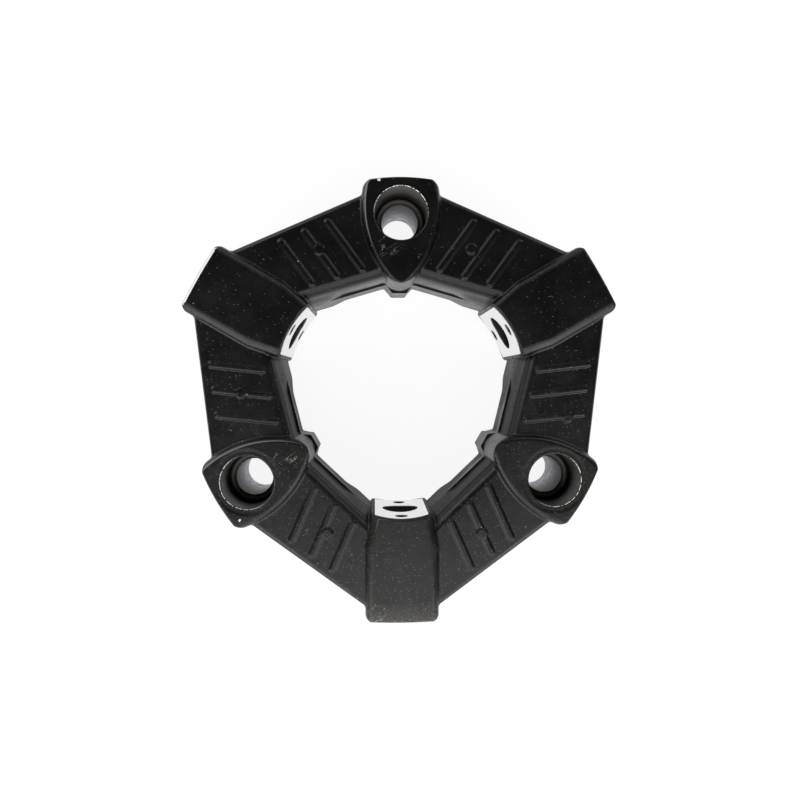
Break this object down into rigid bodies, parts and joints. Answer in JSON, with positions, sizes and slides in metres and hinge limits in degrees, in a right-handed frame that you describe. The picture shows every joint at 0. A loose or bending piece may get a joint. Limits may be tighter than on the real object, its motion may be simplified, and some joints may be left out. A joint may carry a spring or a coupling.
{
  "type": "elastic pump coupling",
  "caption": "Elastic rubber ring coupling with bolted axial and radial lugs, metal sleeves and hollow-seated inserts, for joining a pump's hub to an engine flange.",
  "frame": {"origin": "on the axis of rotation, at the flange's face, which the axial lugs rest on", "axes": "+Z along the axis of rotation, away from the flange; +Y through one axial lug"},
  "size_m": [0.1522, 0.1567, 0.042],
  "materials": {
    "rubber": "moulded black rubber, dusty",
    "sleeve_metal": "zinc plated, turned",
    "insert_metal": "bright machined"
  },
  "bodies": {
    "root": {"rubber_body": "rubber", "axial_sleeve_1": "sleeve_metal", "axial_sleeve_2": "sleeve_metal", "axial_sleeve_3": "sleeve_metal", "radial_insert_1": "insert_metal", "radial_insert_2": "insert_metal", "radial_insert_3": "insert_metal"}
  },
  "joints": []
}
